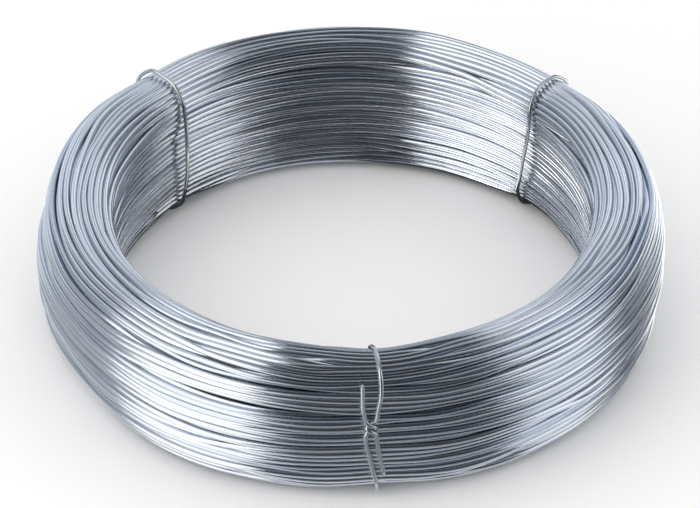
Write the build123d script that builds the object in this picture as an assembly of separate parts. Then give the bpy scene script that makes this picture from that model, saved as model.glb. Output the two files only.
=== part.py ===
# A coil of galvanized wire, lying on its flat side and held by three tie wires.
# Millimetres, +Z up. The origin is the centre of the bore on the face that the coil lies on.
# +Y runs from the front of the coil to its back, and the front tie wire is near -Y.

import os
from dataclasses import dataclass
from math import atan2, cos, degrees, pi, radians, sin, sqrt, tan

from build123d import *

# Driving dimensions of the wire and its coil
wire_diameter = 1.8
outer_diameter = 190.8     # at mid-height, where the outer wall swells
wall_swell = 3.4           # how far mid-height stands out beyond the ends of the wall
winding_depth = 23.9       # from the outer wall to the wall of the bore, at mid-height
coil_height = 46.3
section_corner = 8.0       # radius of the wound section's four corners
turn_nesting = 0.05        # how much nearer than side by side the outermost turns lie

# Driving dimensions of the tie wires
tie_diameter = 1.2
tie_clearance = 0.15       # between a tie wire and the turns that it goes round
strand_clearance = 0.15    # between a tie wire's two ends where they twist round each other
floor_clearance = 0.1      # under a tie wire, which doesn't bear on the floor
pinch_clearance = 0.2      # over a tie wire, under the turns that it presses up
pinch_radius = 17.0        # of the shallow arch that those turns make
twist_pitch = 5.5          # height of the knot's one full twist
twist_half_width = 1.3     # from the middle of the twist to the centre of a strand beside it
twist_steps = 8            # points in the one full twist
under_bend = 2.4           # radius where a tie wire turns under the coil
easy_bend = 5.0            # radius where a tie wire only leans another way


@dataclass
class Tie:
    """Where one tie wire goes. A shift is a sideways distance from its azimuth, round the coil."""

    azimuth: float         # in degrees from +X
    hand: int              # 1, or -1 where the shifts and the twist are mirrored
    knot_height: float     # middle of the twist, above the floor
    knot_shift: float
    upper_tail: float      # length of the free end that points up
    upper_tail_shift: float
    upper_tail_lift: float  # how far that end stands off the turns
    lower_tail: float      # length of the free end that points down
    lower_tail_shift: float
    crown_shift: float     # at the outer edge of the top
    inner_top_shift: float
    inner_bow: float       # how far the run inside the bore bows off the turns
    bottom_shift: float


ties = {
    "tie_front": Tie(
        azimuth=-84.8, hand=1, knot_height=28.6, knot_shift=-1.9,
        upper_tail=10.2, upper_tail_shift=-4.6, upper_tail_lift=0.5,
        lower_tail=15.4, lower_tail_shift=2.0,
        crown_shift=1.9, inner_top_shift=-0.6, inner_bow=0.4, bottom_shift=0.8,
    ),
    "tie_back_right": Tie(
        azimuth=40.8, hand=-1, knot_height=25.4, knot_shift=-1.2,
        upper_tail=11.5, upper_tail_shift=-3.4, upper_tail_lift=0.3,
        lower_tail=12.8, lower_tail_shift=1.4,
        crown_shift=0.5, inner_top_shift=-0.3, inner_bow=0.9, bottom_shift=-5.2,
    ),
    "tie_back_left": Tie(
        azimuth=136.0, hand=1, knot_height=23.8, knot_shift=1.0,
        upper_tail=13.4, upper_tail_shift=-1.6, upper_tail_lift=0.6,
        lower_tail=11.6, lower_tail_shift=3.3,
        crown_shift=-0.2, inner_top_shift=-0.5, inner_bow=2.2, bottom_shift=1.2,
    ),
}

# Derived sizes
wire_radius = wire_diameter / 2
outer_radius = outer_diameter / 2
bore_radius = outer_radius - winding_depth
turn_pitch = wire_diameter - turn_nesting
corner_radius = min(section_corner, 0.45 * (winding_depth - wall_swell), 0.45 * coil_height)
wall_half_height = coil_height / 2 - corner_radius
wall_angle = 2 * atan2(wall_swell, wall_half_height)    # from the wall's middle to where its corners start
wall_curve = corner_radius + wall_half_height / sin(wall_angle)
outer_corner = outer_radius - wall_swell - corner_radius    # radius at which the outer corners are centred
tie_radius = tie_diameter / 2
hug = tie_radius + tie_clearance
under = floor_clearance + tie_radius
corner_bend = corner_radius + hug
knee = corner_radius - corner_bend * tan(radians(22.5))    # where a tie wire leans under the inner corner
top_end = outer_corner + corner_bend * tan((pi / 2 - wall_angle) / 2)
pinch_depth = floor_clearance + tie_diameter + pinch_clearance
twist_half_depth = (tie_diameter + strand_clearance) / 2


def ring_of_centres():
    """Closed line through the centres of the outermost turns, starting under the section's middle."""
    left, low, high = bore_radius + wire_radius, wire_radius, coil_height - wire_radius
    corner, wall = corner_radius - wire_radius, wall_curve - wire_radius
    middle = (left + corner + outer_corner) / 2
    swell = degrees(wall_angle)
    with BuildLine() as ring:
        Line((middle, low), (outer_corner, low))
        foot = JernArc((outer_corner, low), (1, 0), corner, 90 - swell)
        side = JernArc(foot @ 1, foot % 1, wall, 2 * swell)
        JernArc(side @ 1, side % 1, corner, 90 - swell)
        Line((outer_corner, high), (left + corner, high))
        JernArc((left + corner, high), (-1, 0), corner, 90)
        Line((left, high - corner), (left, low + corner))
        JernArc((left, low + corner), (0, -1), corner, 90)
        Line((left + corner, low), (middle, low))
    return ring.wire()


def wound_section():
    """Section of the coil in its (radius, height) plane.

    Each outermost turn is a ridge with three flats, which touch the round wire at its crest and flanks.
    """
    ring = ring_of_centres()
    turns = round(ring.length / turn_pitch)
    centres = [ring.position_at(i / turns) for i in range(turns)]
    along = [ring.tangent_at(i / turns) for i in range(turns)]
    outward = [way.rotate(Axis.Z, -90) for way in along]
    half_crest = wire_radius * tan(radians(22.5))
    points = []
    for i in range(turns):
        near, far = centres[i - 1], centres[i]
        half = (far - near).length / 2
        way = (outward[i - 1] + outward[i]).normalized()
        crest = centres[i] + outward[i] * wire_radius
        points.append((near + far) / 2 + way * sqrt(wire_radius**2 - half**2))
        points.append(crest - along[i] * half_crest)
        points.append(crest + along[i] * half_crest)
    with BuildSketch() as section:
        with BuildLine():
            Polyline(*points, close=True)
        make_face()
    return section.sketch


def placed(tie, shift, radius, height):
    """A point beside a tie wire's azimuth."""
    return Vector(radius, 0, height).rotate(Axis.Z, tie.azimuth + degrees(tie.hand * shift / radius))


def under_run(tie):
    """Ends of a tie wire's straight run under the coil, as (shift, radius, height)."""
    inner_end = (tie.bottom_shift * 0.9, bore_radius - hug + knee - under, under)
    outer_end = (tie.bottom_shift * 0.2, top_end + (under + hug) * tan(wall_angle), under)
    return inner_end, outer_end


def pinch(tie):
    """Shallow arch across the underside of the coil, where a tie wire's run presses the turns up."""
    inner_end, outer_end = [placed(tie, *end) for end in under_run(tie)]
    way, middle = outer_end - inner_end, (inner_end + outer_end) / 2
    across = winding_depth + 2 * corner_radius
    arch = Cylinder(pinch_radius, across, rotation=(0, 90, 0))
    slant = Rot(0, 0, degrees(atan2(way.Y, way.X)))
    return Pos(middle.X, middle.Y, pinch_depth - pinch_radius) * slant * arch


def wire_coil():
    """The wound wire as one turned body with its bore, ridged all round by its turns."""
    body = revolve(Plane.XZ * wound_section(), Axis.Z)
    for tie in ties.values():
        body -= pinch(tie)
    return body


def wall_at(height):
    """Radius of the outer wall at a height."""
    return outer_radius - wall_curve + sqrt(wall_curve**2 - (height - coil_height / 2) ** 2)


def twist_points(tie, start_angle):
    """One strand of the knot, from its low end to its high end, as (shift, radius, height)."""
    axis_radius = outer_radius + hug + twist_half_depth
    low = tie.knot_height - twist_pitch / 2
    points = []
    for i in range(twist_steps + 1):
        angle = radians(start_angle) + 2 * pi * i / twist_steps
        shift = tie.knot_shift + twist_half_width * cos(angle)
        radius = axis_radius + twist_half_depth * sin(angle)
        points.append((shift, radius, low + twist_pitch * i / twist_steps))
    return points


def tie_route(tie):
    """The tie wire's corner points as (shift, radius, height), with the bend wanted at each."""
    outer, inner = outer_radius + hug, bore_radius - hug
    top, middle = coil_height + hug, coil_height / 2
    twist_bend = twist_half_depth + tie_radius
    shoulder = (wall_curve + hug) * tan(wall_angle / 2)    # from mid-height to where the tie leans in
    inner_end, outer_end = under_run(tie)
    twist_low = tie.knot_height - twist_pitch / 2
    tail_tip = tie.knot_height + twist_pitch / 2 + tie.upper_tail

    route = [((tie.lower_tail_shift, outer, twist_low - tie.lower_tail), 0)]
    route += [(point, twist_bend) for point in twist_points(tie, 0)]
    route += [
        ((tie.crown_shift, outer, middle + shoulder), easy_bend),
        ((tie.crown_shift * 0.7, top_end, top), corner_bend),
        ((tie.inner_top_shift, inner, top), corner_bend),
        (((tie.inner_top_shift + tie.bottom_shift) / 2, inner - tie.inner_bow, middle), easy_bend),
        ((tie.bottom_shift, inner, knee), corner_bend),
        (inner_end, under_bend),
        (outer_end, under_bend),
        ((tie.bottom_shift * 0.1, outer, middle - shoulder), easy_bend),
    ]
    route += [(point, twist_bend) for point in twist_points(tie, 180)]
    tail_radius = wall_at(tail_tip) + hug + tie.upper_tail_lift
    route.append(((tie.upper_tail_shift, tail_radius, tail_tip), 0))
    return route


def fitted_bends(points, wanted):
    """Each bend's radius: the wanted one, or as much of it as the runs beside it have room for."""
    runs = [after - before for before, after in zip(points, points[1:])]
    turns = [radians(before.get_angle(after)) for before, after in zip(runs, runs[1:])]
    reach = [0] + [radius * tan(turn / 2) for radius, turn in zip(wanted, turns)] + [0]
    room = [min(1, 0.98 * run.length / (reach[i] + reach[i + 1])) for i, run in enumerate(runs)]
    return [radius * min(room[i], room[i + 1]) for i, radius in enumerate(wanted)]


def tie_wire(tie):
    """A tie wire: once round the coil's section, its two ends twisted together on the outer wall."""
    route = tie_route(tie)
    points = [placed(tie, *point) for point, _ in route]
    bends = fitted_bends(points, [bend for _, bend in route[1:-1]])
    path = FilletPolyline(*points, radius=bends)
    start = Plane(origin=path @ 0, z_dir=path % 0)
    return sweep(start * Circle(tie_radius), path=path)


os.makedirs("parts", exist_ok=True)
export_step(wire_coil(), "parts/wire_coil.step")
for name, tie in ties.items():
    export_step(tie_wire(tie), f"parts/{name}.step")
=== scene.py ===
"""A coil of galvanized wire lying on its flat side, its turns held by three twisted tie wires.

The turns are wound as one long wire, whose section at each station round the coil is a heap of discs that is
pressed together inside the coil's outline. Sizes of the winding are in millimetres, and Blender's in metres.
"""

from math import atan2, ceil, cos, pi, radians, sin

import bpy
import numpy as np
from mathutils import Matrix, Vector

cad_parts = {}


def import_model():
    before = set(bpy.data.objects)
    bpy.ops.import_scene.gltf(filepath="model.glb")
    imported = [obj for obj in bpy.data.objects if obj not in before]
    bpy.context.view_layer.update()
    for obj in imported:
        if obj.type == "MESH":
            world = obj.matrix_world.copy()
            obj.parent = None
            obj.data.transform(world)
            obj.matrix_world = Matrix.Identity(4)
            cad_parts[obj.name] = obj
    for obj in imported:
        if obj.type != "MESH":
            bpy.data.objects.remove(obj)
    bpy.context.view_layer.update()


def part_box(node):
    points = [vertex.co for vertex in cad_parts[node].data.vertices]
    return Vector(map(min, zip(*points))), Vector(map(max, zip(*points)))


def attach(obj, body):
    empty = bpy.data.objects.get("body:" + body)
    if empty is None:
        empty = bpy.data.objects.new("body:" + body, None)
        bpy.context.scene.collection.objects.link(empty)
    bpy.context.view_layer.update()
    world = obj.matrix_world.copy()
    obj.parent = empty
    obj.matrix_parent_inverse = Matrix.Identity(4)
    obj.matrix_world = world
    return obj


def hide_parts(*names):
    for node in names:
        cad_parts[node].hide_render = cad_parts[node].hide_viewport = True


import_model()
MM = 0.001

# Sizes of the coil, from the frame and from the wire's gauge
coil_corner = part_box("wire_coil")[1] / MM
outer_radius = coil_corner.x
coil_height = coil_corner.z
wall_swell = 3.4            # how far the outer wall may stand out at mid-height beyond its foot and top
edge_radius = outer_radius - wall_swell
winding_depth = 23.9
bore_radius = outer_radius - winding_depth
section_corner = 8.0
wire_radius = 0.9
tie_radius = 0.6

# How the winding differs from a plain ring
off_centre = 1.05           # how far it lies to the right of the frame's axis
looseness = 0.2             # how far both its walls lie out from their plain radii
swell = 2.3                 # how far its outer wall stands out at mid-height, between two ties
swell_middle = 23.0         # height at which it stands out most
swell_width = 8.5
lean_middle = 24.0          # height at which a wall is halfway from its foot's radius to its top's
lean_height = 24.0          # over which it goes from the one to the other
tie_draw_width = 7          # of the stretch that a tie draws in, in degrees
tie_draws = {"walls": 0.6, "swell": 1.3, "underside": 1.5, "top": 0.9}    # how far a tie draws in each
# For each edge of its section: how far it bulges outwards, at which azimuth and over how many degrees
bulges = {
    "inner_top": [(0.7, -55, 14)],
    "inner_foot": [(-0.9, 143, 12)],
    "outer_top": [(1.4, 153, 13), (-1.6, 57, 10), (0.6, 0, 18)],
    "outer_foot": [(2.6, 177, 9), (-1.1, 207, 9), (-0.4, 2, 14), (0.5, -30, 12), (0.6, -120, 10)],
}

# How its turns lie back from that outline here and there
ripple_depth = 0.26         # of each of two waves along the outline, which add up
inner_ripple = 0.7          # share of the ripple at the bore's wall
top_ripple = 0.8            # share of it on top
# Each wave's length along the outline, and the swings of its phase round the coil: size, waves and start
ripple_waves = {
    "coarse": (7.3, [(1.3, 1, 0.6), (0.9, 2, 2.0)]),
    "fine": (4.1, [(1.9, 1, 3.4), (1.2, 3, 0.4)]),
}
waver = 0.22                # how far groups of turns wave in and out of the round
waver_lobes = 9             # waves of that round the coil
waver_slips = [(2.6, 2.3), (1.7, 5.1)]    # how far those waves slip round with height, and over which height

# The winding
layers = 11
turn_pitch = 1.81
stations = 180
first_azimuth = 146.0       # where the wire steps from turn to turn, behind the coil in the photograph's view
wire_sides = 12
shown_depth = 2.7           # turns that lie deeper than this all round aren't made
pieces_of_turns = 4

# How turns wander up and down in groups: the number of waves, the range of each one's height, waves round the
# coil, weight and slant through the layers, and the size of all of them together
group_waves = 14
group_heights = (12, 34)
most_group_lobes = 4
group_weights = (0.4, 1.0)
group_slants = (0.1, 0.6)
group_shift = 0.5
# How single turns wander up and down, and across: the stations that this changes over, and its size
turn_wander = [(60, 0.7), (26, 0.15)]
across_wander = (40, 0.5)
bore_calm = 0.45            # share of all this wandering at the bore's wall, where turns lie straighter
calm_share = 0.5            # share of the way to the outer wall over which it grows to the whole of it

# How the turns are pressed together
relax_rounds = 300
search_every = 10           # rounds between two searches for turns that are near each other
search_reach = 2.7          # of that search, in wire radii
first_size = 0.6            # share of the wire's size that it starts with
growing_share = 0.6         # of the rounds, in which it grows to its size
give_way = 0.48             # share of an overlap by which each of two turns gives way in a round
stiffness = 0.06            # how much a bend spreads along the wire in a round
stiffness_rounds = 2
straightening = 0.10        # how much a bend is pulled straight in a round
straightening_share = 0.8   # of the rounds
homing = 0.004              # how much a point is drawn back to where it began in a round
parting_push = 0.5          # share by which a turn that lies in a parting gives way in a round

# The plain core behind the turns that show, coloured dark: painted shade where deeper turns show between them
core_depth = 3.3
core_steps = 28             # round its section
core_sides = 120            # round the coil
core_fullness = (1.6, 1.25)    # by which its round section is stretched across and up before it is cut square

# The photograph's view
view_elevation = 37.2
view_distance = 19 * outer_radius * MM    # far off, since the photograph's lens is long
frame_width, frame_height = 700, 508
pixels_per_millimetre = 3.288
origin_pixel = (348.5, 310.7)
sensor_width = 36

# Each tie wire's azimuth, knot and route. A route's points are (angle round the section, shift round the coil,
# lift off the turns), where the angle is 0 on the outer wall, 90 on top and 180 in the bore.
ties = {
    "tie_front": {
        "azimuth": -84.8, "hand": 1, "knot_height": 28.3, "knot_shift": -2.0,
        "lower_tail": [(-49, 1.9, 0.9), (-38, 1.2, 0.5), (-20, 0.2, 0.3)],
        "run": [(38, -0.2, 0.3), (46, 0.2, 0.2), (54, 0.9, 0.1), (63, 1.2, 0.1), (73, 1.0, 0.1),
                (88, 0.7, 0.2), (98, 0.3, 0.1), (109, -0.3, 0), (150, -0.5, 0.2), (180, -0.6, 0.3),
                (220, -0.3, 0.2), (250, 0, 0), (270, 0.2, 0), (290, 0.3, 0.7), (302, -0.4, 1.0),
                (314, -1.3, 0.6), (332, -2.3, 0.3), (350, -3.2, 0.3), (362, -3.6, 0.3)],
        "upper_tail": [(45, -4.3, 0.9), (66, -4.4, 2.3)],
    },
    "tie_back_right": {
        "azimuth": 40.8, "hand": -1, "knot_height": 24.5, "knot_shift": 1.0,
        "lower_tail": [(-48, -2.0, 0.8), (-30, -1.2, 0.4)],
        "run": [(34, 1.6, 0.3), (50, 2.8, 0.2), (68, 3.6, 0.1), (83, 3.0, 0.3), (96, 2.0, 0.5),
                (106, 1.0, 0.3), (118, -0.5, 0.2), (135, -0.8, 0.5), (152, -0.5, 0.9), (180, 0.4, 1.3),
                (217, 1.7, 1.3), (234, 2.9, 0.8), (246, 3.6, 0.3), (256, 4.0, 0), (272, 3.6, 0),
                (292, 2.2, 0), (320, 1.2, 0.2), (348, 2.4, 0.3)],
        "upper_tail": [(38, 3.0, 0.4), (52, 3.6, 0.8)],
    },
    "tie_back_left": {
        "azimuth": 136.0, "hand": 1, "knot_height": 23.5, "knot_shift": 0.8,
        "lower_tail": [(-46, 3.2, 0.8), (-28, 2.6, 0.4)],
        "run": [(32, 0.4, 0.3), (50, -0.6, 0.2), (65, -1.4, 0.3), (75, -1.8, 0.8), (83, -2.0, 1.0),
                (90, -2.0, 0.7), (100, -1.9, 0.4), (112, -1.4, 0.3), (128, -0.6, 0.7), (152, 0.2, 1.5),
                (180, 0.7, 1.8), (208, 0.7, 1.4), (225, 0.7, 0.8), (238, 0.9, 0.3), (247, 1.6, 0),
                (256, 2.4, 0), (272, 2.2, 0), (292, 0.8, 0), (320, -0.2, 0.2), (346, -0.4, 0.3)],
        "upper_tail": [(38, -1.4, 0.4), (53, -1.8, 0.7)],
    },
}
twist_pitch = 4.2
twist_half_width = 1.5
strand_spacing = 1.3        # between the middles of a knot's two strands where one lies on the other
strand_steps = 24           # of a strand's full twist
strand_lift = 0.1           # of a knot's lower strand off the turns
knot_stand_out = 1.0        # of the turns behind a knot, beyond the wall's ends
tie_gap = 0.04              # between a tie wire and the turns that hold it off
tie_hold = 3                # degrees to each side of a tie wire within which turns hold it off
hold_steps = 7              # directions in which a tie wire lies round one turn
route_step = 2.0            # degrees between two points of a tie wire's run
tie_step = 0.35             # between the rings of a tie wire's mesh
tie_sides = 16
easing_passes = 2           # in which a tie wire's points are spaced evenly and its kinks rounded off
easing_rounds = 4           # of rounding off in each pass
easing = 0.25               # by which a round pulls a kink straight
cut_tip = 1.4               # length over which cutters squeeze a wire's end
cut_size = 0.35             # share of its radius that is left at the tip

# Where turns lie apart: azimuth and half its length in degrees, angle round the section, that angle's change
# with each degree along it, and half the gap in millimetres
partings = [
    (-138, 11, -3, 0.1, 0.9), (-104, 18, -2, 0.0, 0.2), (-100, 16, -17, 0.1, 0.2), (-108, 20, 27, 0.0, 0.2),
    (-115, 9, 0, 0.0, 0.6), (-77, 14, 4, 0.1, 0.45), (-58, 26, 9, 0.0, 0.35), (-62, 12, -22, 0.1, 0.2),
    (-41, 16, -19, 0.41, 0.5), (-30, 18, 24, 0.3, 0.3), (-74, 28, 76, 0.1, 0.2), (-160, 16, 20, 0.4, 0.25),
    (28, 10, 150, -0.3, 0.2), (66, 20, 196, 0.2, 0.15), (118, 18, 214, -0.3, 0.2), (152, 14, 168, 0.5, 0.2),
    (170, 16, 96, 0.3, 0.1), (10, 18, 84, 0.3, 0.2), (75, 30, 8, 0.2, 0.4), (112, 24, -34, 0.3, 0.4),
    (-120, 26, 200, 0.3, 0.3), (-40, 24, 165, -0.3, 0.4),
]
# A parting's angle is on a circle that is stretched and then cut square, just inside the section's own outline
parting_stretch = 1.35
parting_limit = 0.96        # share of the section's half width and half height

# Zinc's tints from dark to light, and its least and most roughness
wire_tints = (0.53, 0.59, 0.70), (0.68, 0.72, 0.78), (0.77, 0.82, 0.91)
wire_roughness = 0.10, 0.22
tie_tints = (0.50, 0.54, 0.56), (0.60, 0.64, 0.65), (0.70, 0.73, 0.74)
tie_roughness = 0.12, 0.26
# The core's dark colour is painted shade, where deeper turns show between the outer ones
core_shade_colour = (0.12, 0.13, 0.15)
# Noise on the wire's surface: features a metre along it and round it, detail and roughness
tint_noise = (3, 0.6, 2, 0.5)
streak_noise = (25, 9, 4, 0.6)
grain_noise = (260, 26, 3, 0.6)
noise_low, noise_high = 0.3, 0.7    # the usual range of Blender's noise
streak_dark, streak_clear = 0.25, 0.6    # the noise where a streak is darkest, and where it has faded out
streak_shade = (0.8, 0.8, 0.8)
grain_depth = 0.02
grain_strength = 0.25

# The studio, in metres and degrees. The zinc mirrors it, so white, grey and dark cards that only mirrors see
# stand where the photograph's zones of light need them.
# These cards glow and light nothing: they paint reflections of light and shade onto the zinc
floor_colour = (0.93, 0.93, 0.935)
floor_half_size = 12.0
backdrop = 1.0              # radiance of the white that the camera and mirrors see all round
soft_light = 0.92           # radiance of the same for everything else
cool_light = (0.95, 0.995, 1.06)
warm_light = (1.0, 0.965, 0.91)
lamp_light = (1.0, 0.965, 0.92)
# Name, azimuth, elevation, distance, width, height and radiance
soft_boxes = [
    ("soft_box_left", -152, 40, 1.25, 1.30, 2.3, 0.77),
    ("soft_box_right", -8, 40, 1.25, 0.5, 2.1, 0.30),
]
# The dark cards paint dark reflections, painted shade, onto the zinc where it faces the front and the top
# Bends of the dark cards, from the floor in front to over the back, as (y, z, left x, right x), and the
# radiance of each card between two bends
dark_bends = [
    (-1.0, 0.02, -0.62, 1.75), (-1.0, 0.55, -0.60, 1.65), (-0.72, 1.0, -0.45, 1.2), (-0.2, 1.25, -0.32, 0.68),
    (0.3, 1.2, -0.22, 0.36), (0.65, 0.95, -0.14, 0.16), (1.0, 0.4, -0.10, 0.12),
]
dark_radiances = [0.05, 0.05, 0.065, 0.15, 0.30, 0.42]
# The standing cards paint grey and white reflections onto the coil's sides, back and top
# Standing cards: name, first and last azimuth and radiance, and the profile of all as (radius, height)
standing_cards = [
    ("grey_card_right", 10, 48, 0.33), ("grey_card_back_right", 48, 84, 1.08),
    ("grey_card_back", 84, 138, 0.90), ("grey_card_left", 138, 184, 0.42),
]
standing_profile = [(1.6, 0.01), (1.6, 1.0), (1.0, 2.2), (0.1, 2.6)]
standing_steps = 8
# The cards on the floor, round the coil and in its bore, paint bands of reflected light and shade onto its
# walls in place of the floor's own reflection
# Cards on the floor that the outer wall mirrors between two azimuths, and their radiances
floor_cards = [
    (-185, -165, 0.95), (-165, -134, 0.52), (-134, -109, 1.50), (-109, -106, 1.1), (-106, -103, 0.8),
    (-103, -100, 0.55), (-100, -64, 0.34), (-64, -60, 0.5), (-60, -56, 0.65), (-56, -38, 0.8),
    (-38, -20, 0.15), (-20, 12, 1.9),
]
floor_card_reach = 1.0
# The same for the bore's wall, with how far each card reaches from it
bore_cards = [
    (2, 49, 0.07, 0.05), (49, 62, 0.06, 4.4), (62, 67, 0.06, 2.6), (67, 72, 0.06, 1.2), (72, 76, 0.06, 0.5),
    (106, 112, 0.055, 0.5), (112, 118, 0.055, 1.1), (118, 124, 0.055, 2.3), (124, 134, 0.055, 3.4),
    (134, 178, 0.05, 0.05), (75, 107, 0.12, 0.02),
]
card_steps = 12
card_height = 0.0005        # of a card on the floor
card_spacing = 0.0001       # between cards that lie over one another
outside_clearance = 3.6     # in millimetres, between the outer wall and the cards on the floor
inside_clearance = 2.0      # the same between the bore's wall and its cards
outside_wall = (outer_radius + outside_clearance) * MM
inside_wall = (bore_radius - inside_clearance) * MM

random = np.random.default_rng(7)
azimuth = (first_azimuth + np.arange(stations) * 360.0 / stations) % 360


# The coil's outline

def bump(angle, centre, width):
    """A smooth bump of height 1 about an azimuth, in degrees."""
    apart = (angle - centre + 180) % 360 - 180
    return np.exp(-0.5 * (apart / width) ** 2)


def bulged(angle, radius, edge_name):
    """The radius of an edge of the section at an azimuth, with its bulges."""
    for size, centre, width in bulges[edge_name]:
        radius = radius + size * bump(angle, centre, width)
    return radius


def outline(angle):
    """Limits of the wound section at an azimuth: radii, heights, its swell and the phases of its waves.

    The coil isn't quite round: it bulges and leans here and there, and is drawn in under its ties.
    """
    angle = np.asarray(angle, float)
    around = np.radians(angle)
    drawn_in = sum(bump(angle, tie["azimuth"], tie_draw_width) for tie in ties.values())
    squeeze = tie_draws["walls"] * drawn_in
    aside = off_centre * np.cos(around) + looseness
    edge = {
        "inner_top": bulged(angle, bore_radius + aside, "inner_top") + squeeze,
        "inner_foot": bulged(angle, bore_radius + aside, "inner_foot") + squeeze,
        "outer_top": bulged(angle, edge_radius + aside, "outer_top") - squeeze,
        "outer_foot": bulged(angle, edge_radius + aside, "outer_foot") - squeeze,
        "swell": swell - tie_draws["swell"] * drawn_in,
        "low": tie_draws["underside"] * drawn_in,
        "high": coil_height - tie_draws["top"] * drawn_in,
        "around": around,
    }
    for name, (_, swings) in ripple_waves.items():
        edge[name] = sum(size * np.sin(lobes * around + start) for size, lobes, start in swings)
    return edge


def ripple(edge, along):
    """How far turns lie back from the outline here and there, at a distance along it."""
    waves = [1 + np.sin(2 * pi * along / length + edge[name]) for name, (length, _) in ripple_waves.items()]
    return ripple_depth * sum(0.5 * wave for wave in waves)


def limits(edge, height):
    """Inner and outer radius of an outline at the given heights."""
    up = np.clip((height - lean_middle) / lean_height + 0.5, 0, 1)
    up = up * up * (3 - 2 * up)
    inner = edge["inner_foot"] * (1 - up) + edge["inner_top"] * up
    outer = edge["outer_foot"] * (1 - up) + edge["outer_top"] * up
    outer = outer + edge["swell"] * np.exp(-0.5 * ((height - swell_middle) / swell_width) ** 2)
    phase = waver_lobes * edge["around"]
    for size, span in waver_slips:
        phase = phase + size * np.sin(height / span)
    wave = waver * np.sin(phase)
    back = ripple(edge, height)
    return inner + inner_ripple * back + wave, np.minimum(outer - waver + wave, outer_radius) - back


# The winding

def places_in_order():
    """Place of each turn in the order of winding: layer by layer, up one and down the next.

    A place is its share of the way from the bore's wall to the outer one, and its height.
    """
    low, high = wire_radius, coil_height - wire_radius
    across = edge_radius - bore_radius - 2 * wire_radius
    corner = section_corner - wire_radius
    places = []
    for layer in range(layers):
        share = layer / (layers - 1)
        edge = across * min(share, 1 - share)
        inset = corner - np.sqrt(corner**2 - max(0, corner - edge) ** 2)
        count = round((high - low - 2 * inset) / turn_pitch) + 1
        heights = np.linspace(low + inset, high - inset, count)
        if layer % 2:
            heights = heights[::-1]
        places += [(share, height) for height in heights]
    return np.array(places)


def wander(count, span, amount):
    """Random numbers along the wire that change over about span points."""
    values = random.normal(0, amount, int(count / span) + 4)
    at = np.arange(count) / span
    first = at.astype(int)
    t = at - first
    t = t * t * (3 - 2 * t)
    return values[first] * (1 - t) + values[first + 1] * t


def wind():
    """The wire's centreline before it is pressed together.

    Returns its (radius, height) at each station of each turn, and the number of turns.
    """
    places = places_in_order()
    turns = len(places) - 1
    at = np.arange(turns * stations) / stations
    turn = at.astype(int)
    t = (at - turn)[:, None]
    wire = places[turn] * (1 - t) + places[turn + 1] * t
    angle = np.radians(np.tile(azimuth, turns))
    edge = {name: np.tile(value, turns) for name, value in outline(azimuth).items()}
    shift = np.zeros(len(wire))
    for _ in range(group_waves):
        wave = random.uniform(*group_heights)
        lobes = random.integers(1, most_group_lobes + 1)
        phase, lobe_phase = random.uniform(0, 2 * pi, 2)
        weight = random.uniform(*group_weights)
        slant = random.uniform(*group_slants)
        along = 2 * pi * wire[:, 1] / wave + phase + slant * winding_depth * wire[:, 0]
        shift += weight * np.sin(along) * np.sin(angle * lobes + lobe_phase)
    offset = group_shift * shift
    for span, size in turn_wander:
        offset = offset + wander(len(wire), span, size)
    calm = bore_calm + (1 - bore_calm) * np.clip(wire[:, 0] / calm_share, 0, 1)
    wire[:, 1] += calm * offset
    inner, outer = limits(edge, wire[:, 1])
    inner, outer = inner + wire_radius, outer - wire_radius
    wire[:, 0] = inner + (outer - inner) * wire[:, 0] + calm * wander(len(wire), *across_wander)
    return wire, turns


def confine(wire, edge):
    """Pushes the wire's points back inside the outline, and returns how deep each lies in it."""
    inner, outer = limits(edge, wire[:, 1])
    inner, outer = inner + wire_radius, outer - wire_radius
    low, high = edge["low"] + wire_radius, edge["high"] - wire_radius - top_ripple * ripple(edge, wire[:, 0])
    corner = section_corner - wire_radius
    across = wire[:, 0] - (inner + outer) / 2
    up = wire[:, 1] - (low + high) / 2
    past_side = np.abs(across) - ((outer - inner) / 2 - corner)
    past_end = np.abs(up) - ((high - low) / 2 - corner)
    at_corner = (past_side > 0) & (past_end > 0)
    reach = np.where(at_corner, np.hypot(past_side, past_end), np.maximum(past_side, past_end))
    safe = np.maximum(reach, 1e-9)
    way_across = np.where(at_corner, past_side / safe, past_side >= past_end) * np.sign(across)
    way_up = np.where(at_corner, past_end / safe, past_side < past_end) * np.sign(up)
    out = np.maximum(reach - corner, 0)
    wire[:, 0] -= way_across * out
    wire[:, 1] -= way_up * out
    return corner - reach


def boxed(way):
    """The sine or cosine of an angle round the section, on a rounded box instead of a circle."""
    return np.clip(way * parting_stretch, -parting_limit, parting_limit)


def parted_places(edge):
    """For each parting, the stations that it spans, its centre at each and how far it keeps turns away."""
    places = []
    for middle, half_length, around, turning, gap in partings:
        apart = (azimuth - middle + 180) % 360 - 180
        spanned = np.nonzero(np.abs(apart) < half_length)[0]
        along = apart[spanned]
        angle = np.radians(around + turning * along)
        height = coil_height / 2 * (1 + boxed(np.sin(angle)))
        inner, outer = limits({name: value[spanned] for name, value in edge.items()}, height)
        radius = (inner + outer) / 2 + (outer - inner) / 2 * boxed(np.cos(angle))
        keep_off = wire_radius + gap * np.sqrt(1 - (along / half_length) ** 2)
        places.append((spanned, radius, height, keep_off))
    return places


def keep_parted(wire, turns, places):
    """Pushes turns away from the places where they lie apart."""
    section = wire.reshape(turns, stations, 2)
    for spanned, radius, height, keep_off in places:
        away = section[:, spanned] - np.stack([radius, height], -1)
        distance = np.sqrt((away * away).sum(-1)) + 1e-9
        push = np.maximum(keep_off - distance, 0) * parting_push / distance
        section[:, spanned] += away * push[..., None]


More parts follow.
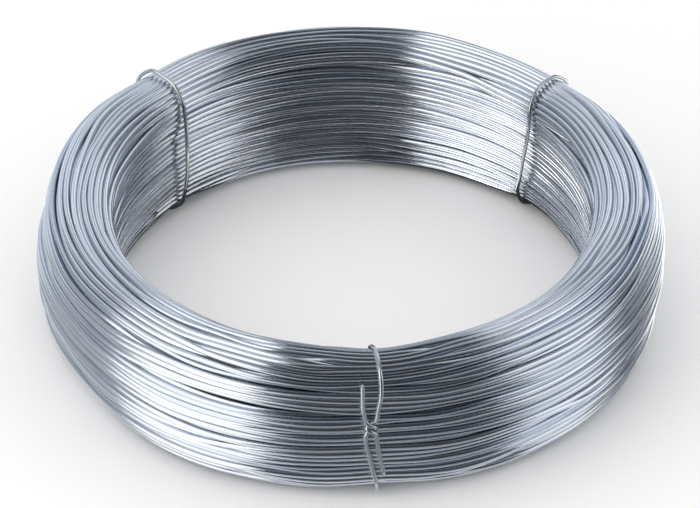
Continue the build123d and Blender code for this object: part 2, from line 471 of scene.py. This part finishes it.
def near_pairs(wire, turns, reach):
    """Pairs of points at the same station, less than reach apart."""
    section = wire.reshape(turns, stations, 2).transpose(1, 0, 2).astype(np.float32)
    one, other = np.triu_indices(turns, 1)
    first, second = [], []
    for station in range(stations):
        apart = section[station][one] - section[station][other]
        near = np.nonzero((apart * apart).sum(1) < reach * reach)[0]
        first.append(one[near] * stations + station)
        second.append(other[near] * stations + station)
    return np.concatenate(first), np.concatenate(second)


def press_together(wire, turns):
    """Moves the turns until none lies in another and all are inside the outline; returns their depths."""
    edge = {name: np.tile(value, turns) for name, value in outline(azimuth).items()}
    places = parted_places(outline(azimuth))
    home = wire.copy()
    count = len(wire)
    for step in range(relax_rounds):
        if step % search_every == 0:
            one, other = near_pairs(wire, turns, search_reach * wire_radius)
        size = min(1.0, first_size + (1 - first_size) * step / (growing_share * relax_rounds))
        grown = 2 * wire_radius * size
        apart = wire[other] - wire[one]
        distance = np.sqrt((apart * apart).sum(1)) + 1e-9
        push = np.maximum(grown - distance, 0) * give_way / distance
        move = apart * push[:, None]
        touching = np.bincount(one, push > 0, count) + np.bincount(other, push > 0, count)
        share = 1 / np.maximum(1, touching / 2)
        for axis in (0, 1):
            away = np.bincount(other, move[:, axis], count) - np.bincount(one, move[:, axis], count)
            wire[:, axis] += away * share
        for _ in range(stiffness_rounds):
            bend = np.zeros_like(wire)
            bend[1:-1] = wire[:-2] + wire[2:] - 2 * wire[1:-1]
            spread = np.zeros_like(wire)
            spread[1:-1] = bend[:-2] + bend[2:] - 2 * bend[1:-1]
            wire -= stiffness * spread
        if step < straightening_share * relax_rounds:
            wire += straightening * bend
        wire += homing * (home - wire)
        keep_parted(wire, turns, places)
        confine(wire, edge)
    return confine(wire, edge)


# Meshes

def tube(path, radius, sides, length_before=0.0, taper=(0, 0)):
    """Vertices, faces and face UVs of a closed tube along a path in metres.

    UVs are the length along the wire in metres and the share of the way round it. The tapers are the lengths
    in metres over which its two ends narrow to the flat tips that cutters leave.
    """
    path = np.asarray(path, float)
    count = len(path)
    along = np.gradient(path, axis=0)
    along /= np.linalg.norm(along, axis=1)[:, None]
    length = np.concatenate([[0], np.cumsum(np.linalg.norm(np.diff(path, axis=0), axis=1))])
    side = np.cross(along[0], (0.0, 0.0, 1.0))
    if np.linalg.norm(side) < 0.2:    # a path that starts nearly upright
        side = np.cross(along[0], (1.0, 0.0, 0.0))
    sides_along = np.empty((count, 3))
    for i in range(count):
        side = side - along[i] * (side @ along[i])
        side /= np.linalg.norm(side)
        sides_along[i] = side
    other = np.cross(along, sides_along)
    size = np.full(count, float(radius))
    if taper[0]:
        size *= cut_size + (1 - cut_size) * np.clip(length / taper[0], 0, 1)
    if taper[1]:
        size *= cut_size + (1 - cut_size) * np.clip((length[-1] - length) / taper[1], 0, 1)
    angle = 2 * pi * np.arange(sides) / sides
    ring = np.cos(angle)[None, :, None] * sides_along[:, None] + np.sin(angle)[None, :, None] * other[:, None]
    points = (path[:, None] + size[:, None, None] * ring).reshape(-1, 3)
    i, j = np.meshgrid(np.arange(count - 1), np.arange(sides), indexing="ij")
    here, there = i * sides + j, i * sides + (j + 1) % sides
    quads = np.stack([here, there, there + sides, here + sides], axis=-1).reshape(-1, 4)
    u = length + length_before
    v = np.arange(sides + 1) / sides
    uvs = np.stack([
        np.stack([u[i], v[j]], -1), np.stack([u[i], v[j + 1]], -1),
        np.stack([u[i + 1], v[j + 1]], -1), np.stack([u[i + 1], v[j]], -1),
    ], axis=2).reshape(-1, 4, 2)
    ends = [list(range(sides))[::-1], list(range((count - 1) * sides, count * sides))]
    end_uvs = [[(u[0], 0.0)] * sides, [(u[-1], 0.0)] * sides]
    return points, quads, uvs, ends, end_uvs


def mesh_of_tubes(name, tubes, material):
    """One mesh object of several tubes."""
    points, faces, uvs = [], [], []
    before = 0
    for tube_points, quads, quad_uvs, ends, end_uvs in tubes:
        points.append(tube_points)
        faces += (quads + before).tolist() + [[v + before for v in end] for end in ends]
        uvs += [quad_uvs.reshape(-1, 2)] + [np.array(end) for end in end_uvs]
        before += len(tube_points)
    mesh = bpy.data.meshes.new(name)
    mesh.from_pydata(np.concatenate(points).tolist(), [], faces)
    layer = mesh.uv_layers.new(name="wire")
    layer.data.foreach_set("uv", np.concatenate(uvs).astype(np.float32).ravel())
    mesh.polygons.foreach_set("use_smooth", [len(face) == 4 for face in faces])
    mesh.materials.append(material)
    mesh.update()
    piece = bpy.data.objects.new(name, mesh)
    bpy.context.scene.collection.objects.link(piece)
    return piece


def in_space(radius, height, angle):
    """Points in metres from radii and heights in millimetres and azimuths in degrees."""
    angle = np.radians(angle)
    return np.stack([radius * np.cos(angle), radius * np.sin(angle), height], -1) * MM


# Materials

def new_material(name):
    material = bpy.data.materials.new(name)
    material.use_nodes = True
    nodes, links = material.node_tree.nodes, material.node_tree.links
    return material, nodes, links, nodes["Principled BSDF"]


def stretched_noise(nodes, links, along, around, detail, roughness):
    """Noise on the wire's own surface, with so many features a metre along it and so many round it."""
    uv = nodes.new("ShaderNodeUVMap")
    uv.uv_map = "wire"
    mapping = nodes.new("ShaderNodeMapping")
    mapping.inputs["Scale"].default_value = (along, around, 1)
    noise = nodes.new("ShaderNodeTexNoise")
    noise.inputs["Scale"].default_value = 1
    noise.inputs["Detail"].default_value = detail
    noise.inputs["Roughness"].default_value = roughness
    links.new(uv.outputs["UV"], mapping.inputs["Vector"])
    links.new(mapping.outputs["Vector"], noise.inputs["Vector"])
    return noise.outputs["Fac"]


def colour_ramp(nodes, links, factor, stops):
    ramp = nodes.new("ShaderNodeValToRGB")
    elements = ramp.color_ramp.elements
    while len(elements) < len(stops):
        elements.new(0.5)
    for element, (position, colour) in zip(elements, stops):
        element.position = position
        element.color = (*colour, 1)
    links.new(factor, ramp.inputs["Fac"])
    return ramp.outputs["Color"]


def value_range(nodes, links, factor, low, high):
    """The factor stretched from the noise's usual range to low and high."""
    stretch = nodes.new("ShaderNodeMapRange")
    stretch.inputs["From Min"].default_value = noise_low
    stretch.inputs["From Max"].default_value = noise_high
    stretch.inputs["To Min"].default_value = low
    stretch.inputs["To Max"].default_value = high
    links.new(factor, stretch.inputs["Value"])
    return stretch.outputs["Result"]


def zinc(name, tints, roughness):
    """Bright zinc on drawn wire: tints that change from turn to turn, and streaks along the wire."""
    dark, middle, light = tints
    material, nodes, links, shader = new_material(name)
    tint = stretched_noise(nodes, links, *tint_noise)
    streak = stretched_noise(nodes, links, *streak_noise)
    grain = stretched_noise(nodes, links, *grain_noise)
    colour = colour_ramp(nodes, links, tint, [(noise_low, dark), (0.5, middle), (noise_high, light)])
    shade = colour_ramp(nodes, links, streak, [(streak_dark, streak_shade), (streak_clear, (1, 1, 1))])
    mix = nodes.new("ShaderNodeMix")
    mix.data_type = "RGBA"
    mix.blend_type = "MULTIPLY"
    mix.inputs["Factor"].default_value = 1
    links.new(colour, mix.inputs["A"])
    links.new(shade, mix.inputs["B"])
    links.new(mix.outputs["Result"], shader.inputs["Base Color"])
    links.new(value_range(nodes, links, streak, *roughness), shader.inputs["Roughness"])
    shader.inputs["Metallic"].default_value = 1
    bump_node = nodes.new("ShaderNodeBump")
    bump_node.inputs["Strength"].default_value = grain_strength
    bump_node.inputs["Distance"].default_value = grain_depth * MM
    links.new(grain, bump_node.inputs["Height"])
    links.new(bump_node.outputs["Normal"], shader.inputs["Normal"])
    return material


def plain(name, colour, roughness, metallic=0.0):
    material, _, _, shader = new_material(name)
    shader.inputs["Base Color"].default_value = (*colour, 1)
    shader.inputs["Roughness"].default_value = roughness
    shader.inputs["Metallic"].default_value = metallic
    return material


# The coil's pieces

def dress(piece, *nodes, slot):
    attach(piece, "root")
    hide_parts(*nodes)


def shown_runs(depth, turns):
    """Runs of whole turns that come near the surface somewhere, as (first turn, turn after the last)."""
    near = depth.reshape(turns, stations).min(1) < shown_depth
    runs = []
    for turn in np.nonzero(near)[0]:
        if runs and runs[-1][1] == turn:
            runs[-1][1] = turn + 1
        else:
            runs.append([turn, turn + 1])
    return runs


def turns_pieces(wire, turns, depth, material):
    """The turns that show, shared out evenly over some pieces."""
    angle = np.tile(azimuth, turns)
    path = in_space(wire[:, 0], wire[:, 1], angle)
    turn_length = 2 * pi * (outer_radius + bore_radius) / 2 * MM
    runs = shown_runs(depth, turns)
    shown = sum(end - first for first, end in runs)
    share = ceil(shown / pieces_of_turns)
    groups = [[]]
    room = share
    for first, stop in runs:
        while first < stop:
            if room == 0:
                groups.append([])
                room = share
            end = min(stop, first + room)
            groups[-1].append((first, end))
            room -= end - first
            first = end
    for number, group in enumerate(groups, 1):
        tubes = []
        for first, end in group:
            stretch = path[first * stations:end * stations + 1]
            cut_ends = (cut_tip * MM * (first == 0), cut_tip * MM * (end == turns))
            tubes.append(tube(stretch, wire_radius * MM, wire_sides, first * turn_length, cut_ends))
        piece = mesh_of_tubes(f"wire_turns_{number}", tubes, material)
        dress(piece, "wire_coil", slot="galvanized_wire")


def hull(points):
    """Corners of the smallest convex outline round points, anticlockwise."""
    points = sorted(map(tuple, points))
    halves = []
    for ordered in (points, points[::-1]):
        half = []
        for point in ordered:
            while len(half) > 1:
                (ax, ay), (bx, by) = half[-2:]
                if (bx - ax) * (point[1] - ay) > (by - ay) * (point[0] - ax):
                    break
                half.pop()
            half.append(point)
        halves += half[:-1]
    return np.array(halves)


def taut_loop(wire, turns, tie_azimuth):
    """The line of a wire pulled tight round the turns at an azimuth.

    Returns its angles round the section, from -180 to 540, and its (radius, height) and the direction outwards
    at each.
    """
    middle = np.array([(edge_radius + bore_radius) / 2, coil_height / 2])
    apart = np.abs((azimuth - tie_azimuth + 180) % 360 - 180)
    close = wire.reshape(turns, stations, 2)[:, apart < tie_hold].reshape(-1, 2)
    corners = hull(close)
    sides = np.roll(corners, -1, axis=0) - corners
    facing = np.unwrap(np.arctan2(-sides[:, 0], sides[:, 1]))
    before = np.concatenate([[facing[-1] - 2 * pi], facing[:-1]])
    points, directions = [], []
    for corner, start, end in zip(corners, before, facing):
        for way in np.linspace(start, end, hold_steps):
            out = np.array([np.cos(way), np.sin(way)])
            points.append(corner + out * (wire_radius + tie_radius + tie_gap))
            directions.append(out)
    points, directions = np.array(points), np.array(directions)
    angle = np.degrees(np.arctan2(points[:, 1] - middle[1], points[:, 0] - middle[0]))
    order = np.argsort(angle)
    angle, points, directions = angle[order], points[order], directions[order]
    angle = np.concatenate([angle, angle + 360])
    return angle, np.tile(points, (2, 1)), np.tile(directions, (2, 1))


def curve_through(table, at):
    """Smooth values at the given angles, of a table of (angle, value, ...) rows."""
    table = np.array(table, float)
    slopes = np.gradient(table[:, 1:], table[:, 0], axis=0)
    row = np.clip(np.searchsorted(table[:, 0], at) - 1, 0, len(table) - 2)
    span = table[row + 1, 0] - table[row, 0]
    t = ((at - table[row, 0]) / span)[:, None]
    span = span[:, None]
    start, end = table[row, 1:], table[row + 1, 1:]
    return (start * (1 + 2 * t) * (1 - t) ** 2 + end * t * t * (3 - 2 * t)
            + span * (slopes[row] * t * (1 - t) ** 2 - slopes[row + 1] * t * t * (1 - t)))


def eased(path, step, rounds):
    """A path of even steps whose kinks are rounded off."""
    for _ in range(easing_passes):
        length = np.concatenate([[0], np.cumsum(np.linalg.norm(np.diff(path, axis=0), axis=1))])
        at = np.linspace(0, length[-1], round(length[-1] / step) + 1)
        path = np.stack([np.interp(at, length, path[:, axis]) for axis in range(3)], -1)
        for _ in range(rounds):
            path[1:-1] += easing * (path[:-2] + path[2:] - 2 * path[1:-1])
    return path


def tie_wire(name, wire, turns, material):
    """A tie wire: once round the turns, with its two ends twisted once round each other on the outer wall."""
    tie = ties[name]
    loop_angle, loop_points, loop_directions = taut_loop(wire, turns, tie["azimuth"])

    def placed(rows):
        """Points in space, of rows of (angle, shift, lift)."""
        angle, shift, lift = np.array(rows, float).T
        angle = np.where(angle < loop_angle[0], angle + 360, angle)
        point = [np.interp(angle, loop_angle, loop_points[:, axis]) for axis in (0, 1)]
        out = [np.interp(angle, loop_angle, loop_directions[:, axis]) for axis in (0, 1)]
        radius, height = point[0] + lift * out[0], point[1] + lift * out[1]
        return in_space(radius, height, tie["azimuth"] + np.degrees(shift / radius))

    def strand(start_turn):
        """One strand of the knot, from its low end to its high end, as such rows."""
        rows = []
        wall = (edge_radius - bore_radius) / 2 + knot_stand_out
        for i in range(strand_steps + 1):
            share = i / strand_steps
            turn = 2 * pi * (start_turn + share)
            height = tie["knot_height"] + twist_pitch * (share - 0.5)
            angle = np.degrees(atan2(height - coil_height / 2, wall))
            shift = tie["knot_shift"] + tie["hand"] * twist_half_width * cos(turn)
            rows.append((angle, shift, strand_spacing / 2 * (1 + sin(turn)) + strand_lift))
        return rows

    run = tie["run"]
    at = np.arange(run[0][0], run[-1][0], route_step)
    rounds = np.column_stack([at, curve_through(run, at)])
    rows = [tie["lower_tail"], strand(0), rounds, strand(0.5), tie["upper_tail"]]
    path = eased(np.concatenate([placed(part) for part in rows]), tie_step * MM, easing_rounds)
    cut_ends = (cut_tip * MM, cut_tip * MM)
    piece = mesh_of_tubes(name + "_wire", [tube(path, tie_radius * MM, tie_sides, 0.0, cut_ends)], material)
    dress(piece, name, slot="tie_wire")


def core(material):
    """The plain inside of the winding, behind the turns that show, dark as painted shade between them."""
    angles = np.arange(core_sides) * 360 / core_sides
    edge = outline(angles)
    middle = (edge["low"] + edge["high"]) / 2
    half_height = (edge["high"] - edge["low"]) / 2 - core_depth
    points = []
    for i in range(core_steps):
        turn = 2 * pi * i / core_steps
        across, up = np.clip(np.array([cos(turn), sin(turn)]) * core_fullness, -1, 1)
        height = middle + half_height * up
        inner, outer = limits(edge, height)
        half_width = (outer - inner) / 2 - core_depth
        points.append(in_space((inner + outer) / 2 + half_width * across, height, angles))
    faces = []
    for i in range(core_steps):
        for j in range(core_sides):
            k, m = (i + 1) % core_steps, (j + 1) % core_sides
            faces.append([i * core_sides + j, i * core_sides + m, k * core_sides + m, k * core_sides + j])
    mesh = bpy.data.meshes.new("winding_core")
    mesh.from_pydata(np.concatenate(points).tolist(), [], faces)
    mesh.polygons.foreach_set("use_smooth", [True] * len(faces))
    mesh.materials.append(material)
    mesh.update()
    piece = bpy.data.objects.new("winding_core", mesh)
    bpy.context.scene.collection.objects.link(piece)
    dress(piece, "wire_coil", slot="galvanized_wire")


# Floor, light and camera

def stage_mesh(name, points, faces, material):
    mesh = bpy.data.meshes.new(name)
    mesh.from_pydata(points, [], faces)
    mesh.materials.append(material)
    piece = bpy.data.objects.new(name, mesh)
    bpy.context.scene.collection.objects.link(piece)
    return piece


def floor():
    half = floor_half_size
    points = [(-half, -half, 0), (half, -half, 0), (half, half, 0), (-half, half, 0)]
    material = plain("pale_floor", floor_colour, roughness=0.9)
    material.node_tree.nodes["Principled BSDF"].inputs["Specular IOR Level"].default_value = 0
    stage_mesh("floor", points, [(0, 1, 2, 3)], material)


def card(name, points, faces, radiance, colour=cool_light):
    """A card that only mirrors see, glowing with a plain radiance: a painted reflection, which lights nothing.
    """
    material, _, _, shader = new_material(name)
    shader.inputs["Base Color"].default_value = (0, 0, 0, 1)
    shader.inputs["Emission Color"].default_value = (*colour, 1)
    shader.inputs["Emission Strength"].default_value = radiance
    shader.inputs["Specular IOR Level"].default_value = 0
    piece = stage_mesh(name, points, faces, material)
    piece.visible_camera = False
    piece.visible_diffuse = False
    piece.visible_shadow = False


def dark_card(number, radiance):
    """One of the dark cards before and over the coil, as between a studio's soft boxes: painted shade in the
    zinc's reflections.
    """
    points = [(x, y, z) for y, z, *sides in dark_bends[number - 1:number + 1] for x in sides]
    card(f"dark_card_{number}", points, [(0, 1, 3, 2)], radiance)


def azimuths(start, end, steps):
    """Evenly spaced azimuths in radians from one in degrees to another, numbered from 0."""
    return enumerate(radians(start + (end - start) * i / steps) for i in range(steps + 1))


def standing_card(name, start, end, radiance):
    """A tall card that stands on the floor round a part of the coil, and leans in over it: a painted
    reflection, grey or white by its radiance.
    """
    points, faces = [], []
    rows = len(standing_profile)
    for i, angle in azimuths(start, end, standing_steps):
        points += [(radius * cos(angle), radius * sin(angle), z) for radius, z in standing_profile]
        if i:
            last, here = rows * (i - 1), rows * i
            faces += [(last + k, here + k, here + k + 1, last + k + 1) for k in range(rows - 1)]
    card(name, points, faces, radiance)


def floor_card(name, start, end, wall, reach, radiance, height):
    """A card on the floor where a stretch of the wall at a radius mirrors it towards the camera: a painted
    reflection of light, or of shade where its radiance is low.
    """
    points, faces = [], []
    for i, angle in azimuths(start, end, card_steps):
        near = Vector((wall * cos(angle), wall * sin(angle), height))
        mirrored = 2 * angle + pi / 2
        points += [near, near + Vector((cos(mirrored), sin(mirrored), 0)) * reach]
        if i:
            faces.append((2 * i - 2, 2 * i - 1, 2 * i + 1, 2 * i))
    card(name, points, faces, radiance, warm_light if radiance > 1 else cool_light)


def soft_box(name, azimuth_degrees, elevation, distance, width, height, radiance):
    """A rectangular lamp that faces the coil."""
    light = bpy.data.lights.new(name, "AREA")
    light.shape = "RECTANGLE"
    light.size = width
    light.size_y = height
    light.energy = radiance * pi * width * height
    light.color = lamp_light
    lamp = bpy.data.objects.new(name, light)
    bpy.context.scene.collection.objects.link(lamp)
    a, e = radians(azimuth_degrees), radians(elevation)
    place = Vector((cos(e) * cos(a), cos(e) * sin(a), sin(e))) * distance
    lamp.location = place
    lamp.rotation_euler = (-place).to_track_quat("-Z", "Y").to_euler()
    lamp.visible_camera = False


def world():
    """White where the camera, mirrors and glass look, and a plain soft light for the rest."""
    scene_world = bpy.data.worlds.new("studio")
    bpy.context.scene.world = scene_world
    scene_world.use_nodes = True
    nodes, links = scene_world.node_tree.nodes, scene_world.node_tree.links
    background = nodes["Background"]
    path = nodes.new("ShaderNodeLightPath")
    seen = path.outputs["Is Camera Ray"]
    for ray in ("Is Glossy Ray", "Is Transmission Ray"):
        either = nodes.new("ShaderNodeMath")
        either.operation = "MAXIMUM"
        links.new(seen, either.inputs[0])
        links.new(path.outputs[ray], either.inputs[1])
        seen = either.outputs["Value"]
    strength = nodes.new("ShaderNodeMapRange")
    strength.inputs["To Min"].default_value = soft_light
    strength.inputs["To Max"].default_value = backdrop
    links.new(seen, strength.inputs["Value"])
    links.new(strength.outputs["Result"], background.inputs["Strength"])
    background.inputs["Color"].default_value = (1, 1, 1, 1)


def camera():
    """Looks at the coil as the photograph does, through a long lens."""
    e = radians(view_elevation)
    forward = Vector((0, cos(e), -sin(e)))
    focal_pixels = pixels_per_millimetre * view_distance / MM
    pan = atan2(origin_pixel[0] - frame_width / 2, focal_pixels)
    tilt = atan2(origin_pixel[1] - frame_height / 2, focal_pixels)
    lens = bpy.data.cameras.new("camera")
    lens.sensor_width = sensor_width
    lens.lens = focal_pixels * sensor_width / frame_width
    lens.clip_end = 100
    view = bpy.data.objects.new("camera", lens)
    bpy.context.scene.collection.objects.link(view)
    view.location = -forward * view_distance
    view.rotation_euler = (pi / 2 - e + tilt, 0, pan)
    bpy.context.scene.camera = view


bpy.context.scene.view_settings.view_transform = "Standard"
wound, turn_count = wind()
depths = press_together(wound, turn_count)
turns_pieces(wound, turn_count, depths, zinc("wire_zinc", wire_tints, wire_roughness))
# The core is dark as painted shade between the turns that show
core(plain("core_painted_shade", core_shade_colour, roughness=0.5, metallic=0.8))
tie_zinc = zinc("tie_zinc", tie_tints, tie_roughness)
for tie_name in ties:
    tie_wire(tie_name, wound, turn_count, tie_zinc)
floor()
for number, radiance in enumerate(dark_radiances, 1):
    dark_card(number, radiance)
for standing in standing_cards:
    standing_card(*standing)
for number, (start, end, radiance) in enumerate(floor_cards, 1):
    floor_card(f"floor_card_{number}", start, end, outside_wall, floor_card_reach, radiance, card_height)
for number, (start, end, reach, radiance) in enumerate(bore_cards, 1):
    height = card_height + card_spacing * number
    floor_card(f"bore_card_{number}", start, end, inside_wall, reach, radiance, height)
for box in soft_boxes:
    soft_box(*box)
world()
camera()
